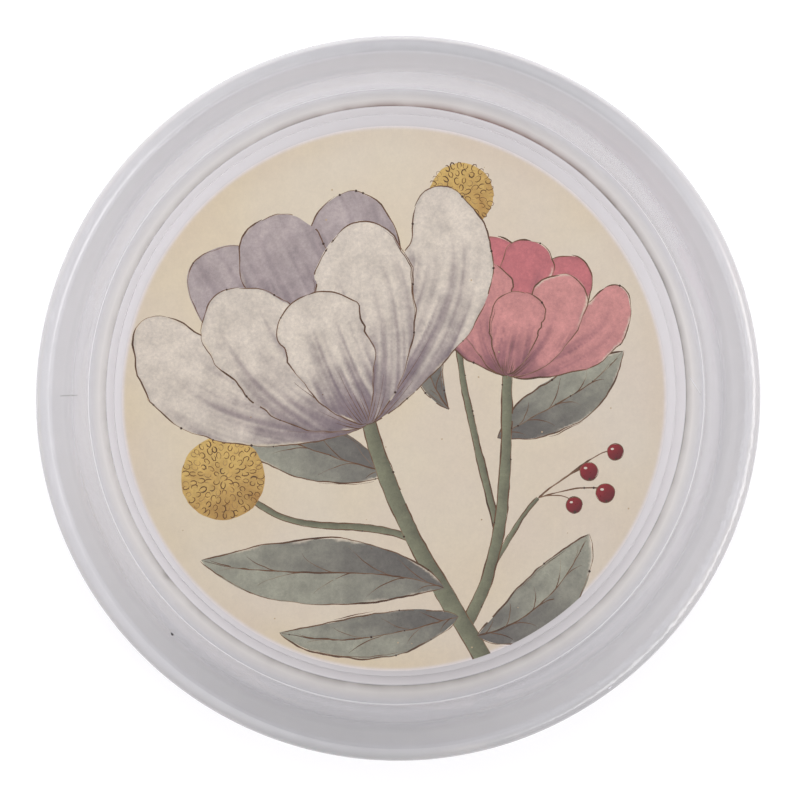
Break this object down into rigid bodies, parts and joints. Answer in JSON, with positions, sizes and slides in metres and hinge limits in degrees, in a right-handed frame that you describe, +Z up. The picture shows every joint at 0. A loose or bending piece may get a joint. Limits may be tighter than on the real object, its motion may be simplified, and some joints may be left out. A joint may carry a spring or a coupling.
{
  "type": "decoupage glass coaster dish",
  "caption": "Round clear glass coaster dish with a flared wall and rounded lip, and a printed botanical paper disc sealed under its floor.",
  "frame": {"origin": "centre of the foot ring's flat underside, on the table", "axes": "+Z up along the dish's axis, +Y to the top edge of the printed design, +X to its right"},
  "size_m": [0.146, 0.146, 0.019],
  "materials": {
    "clear_glass": "pressed clear glass, fire-polished, faint lavender grey tint",
    "printed_paper": "cream laid paper printed in soft watercolour tones, in optical contact with the glass",
    "backing_paper": "plain backing paper under a satin sealing varnish"
  },
  "bodies": {
    "root": {"glass_dish": "clear_glass", "printed_sheet": "printed_paper", "backing_sheet": "backing_paper"}
  },
  "joints": []
}
